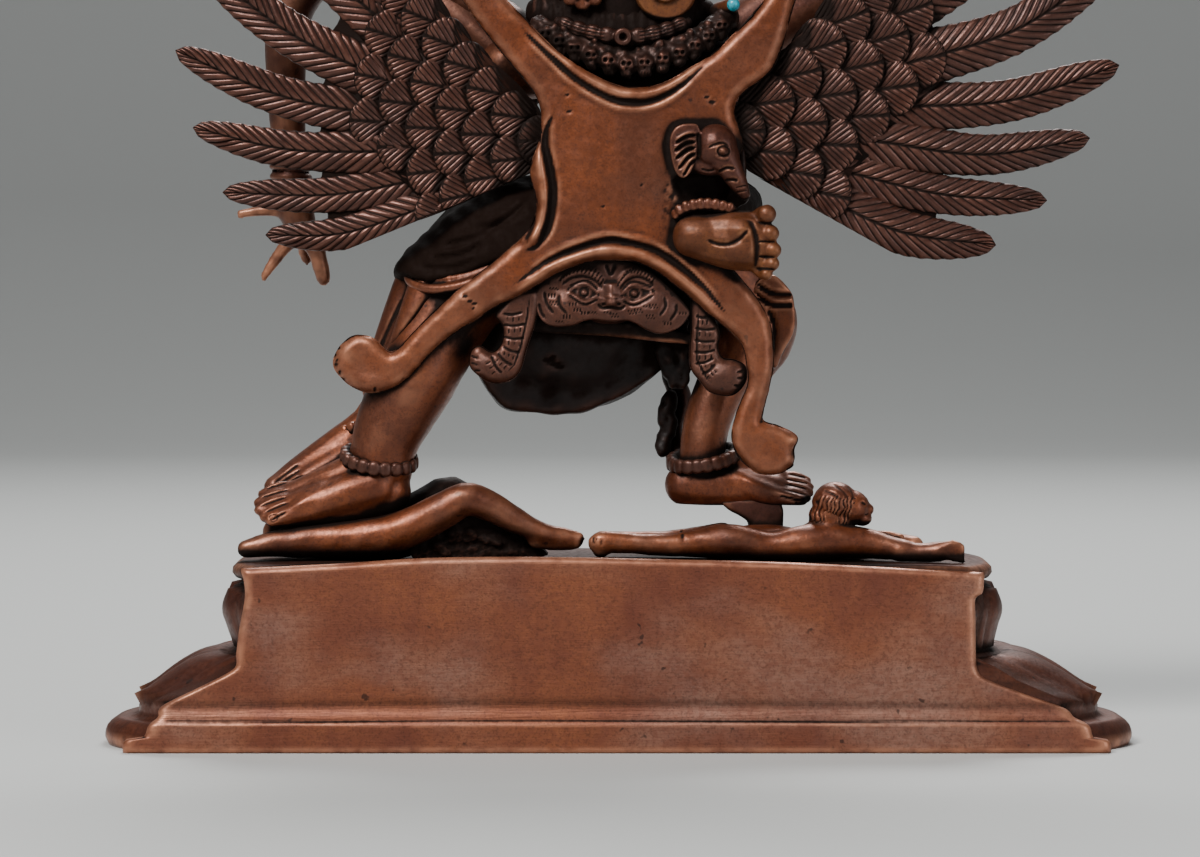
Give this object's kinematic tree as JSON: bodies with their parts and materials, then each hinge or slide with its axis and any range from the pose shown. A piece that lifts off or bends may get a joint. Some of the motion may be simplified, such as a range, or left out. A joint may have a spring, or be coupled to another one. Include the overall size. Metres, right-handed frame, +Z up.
{
  "type": "vajrakilaya figure",
  "caption": "Cast copper winged guardian figure embracing a consort, standing astride trampled figures on a long lotus plinth with a flat back; rests on its underside.",
  "frame": {"origin": "centre of the plinth's underside", "axes": "+Z up, +X along the plinth to the right seen from its flat back, +Y from the flat back to the petalled front; the figures face +Y"},
  "size_m": [0.209, 0.0834, 0.1978],
  "materials": {
    "copper": "oxidised cast copper, satin, darker in the recesses and bright on worn edges",
    "turquoise": "polished turquoise cabochon"
  },
  "bodies": {
    "root": {"plinth": "copper", "vajrakilaya_figure": "copper", "trampled_man_left": "copper", "trampled_man_right": "copper", "wing_left": "copper", "wing_right": "copper", "earring_stone_left": "turquoise", "earring_stone_right": "turquoise", "shoulder_stone": "turquoise", "crown_stone": "turquoise"}
  },
  "joints": []
}
